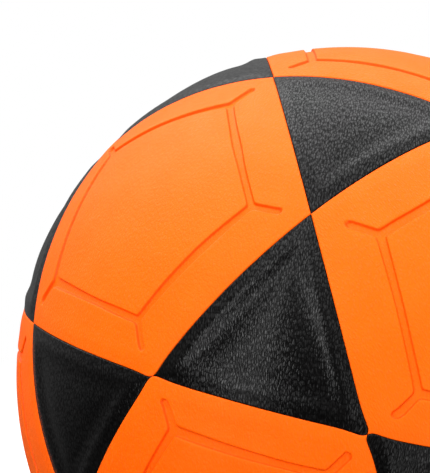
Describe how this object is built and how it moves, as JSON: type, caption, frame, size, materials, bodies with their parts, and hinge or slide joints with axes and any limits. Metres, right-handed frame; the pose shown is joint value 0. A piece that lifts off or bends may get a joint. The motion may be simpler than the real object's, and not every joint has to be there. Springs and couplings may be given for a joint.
{
  "type": "soccer ball",
  "caption": "Inflated stitched ball of embossed pentagonal and plain triangular leather panels over foam, lining and a rubber bladder with a needle valve.",
  "frame": {"origin": "centre of the ball", "axes": "+Z from the centre out through the valve; +X lies in the seam that runs around the ball's equator, at the middle of one of its ten seams"},
  "size_m": [0.22, 0.22, 0.2199],
  "materials": {
    "orange_leather": "fine-grained satin synthetic leather",
    "black_leather": "coarse-grained semi-gloss synthetic leather",
    "foam": "matt closed-cell foam",
    "lining": "woven cotton and polyester cloth",
    "thread": "waxed twisted polyester thread",
    "bladder_rubber": "matt butyl rubber",
    "plug_rubber": "smooth moulded rubber",
    "patch": "rubberised canvas"
  },
  "bodies": {
    "root": {"valve_panel": "orange_leather", "pentagon_panel_01": "orange_leather", "pentagon_panel_02": "orange_leather", "pentagon_panel_03": "orange_leather", "pentagon_panel_04": "orange_leather", "pentagon_panel_05": "orange_leather", "pentagon_panel_06": "orange_leather", "pentagon_panel_07": "orange_leather", "pentagon_panel_08": "orange_leather", "pentagon_panel_09": "orange_leather", "pentagon_panel_10": "orange_leather", "pentagon_panel_11": "orange_leather", "triangle_panel_01": "black_leather", "triangle_panel_02": "black_leather", "triangle_panel_03": "black_leather", "triangle_panel_04": "black_leather", "triangle_panel_05": "black_leather", "triangle_panel_06": "black_leather", "triangle_panel_07": "black_leather", "triangle_panel_08": "black_leather", "triangle_panel_09": "black_leather", "triangle_panel_10": "black_leather", "triangle_panel_11": "black_leather", "triangle_panel_12": "black_leather", "triangle_panel_13": "black_leather", "triangle_panel_14": "black_leather", "triangle_panel_15": "black_leather", "triangle_panel_16": "black_leather", "triangle_panel_17": "black_leather", "triangle_panel_18": "black_leather", "triangle_panel_19": "black_leather", "triangle_panel_20": "black_leather", "seam_thread_01": "thread", "seam_thread_02": "thread", "seam_thread_03": "thread", "seam_thread_04": "thread", "seam_thread_05": "thread", "seam_thread_06": "thread", "pentagon_foam": "foam", "triangle_foam": "foam", "pentagon_lining": "lining", "triangle_lining": "lining", "bladder": "bladder_rubber", "valve_housing": "bladder_rubber", "valve_plug": "plug_rubber", "valve_patch": "patch", "balance_patch": "patch"}
  },
  "joints": []
}
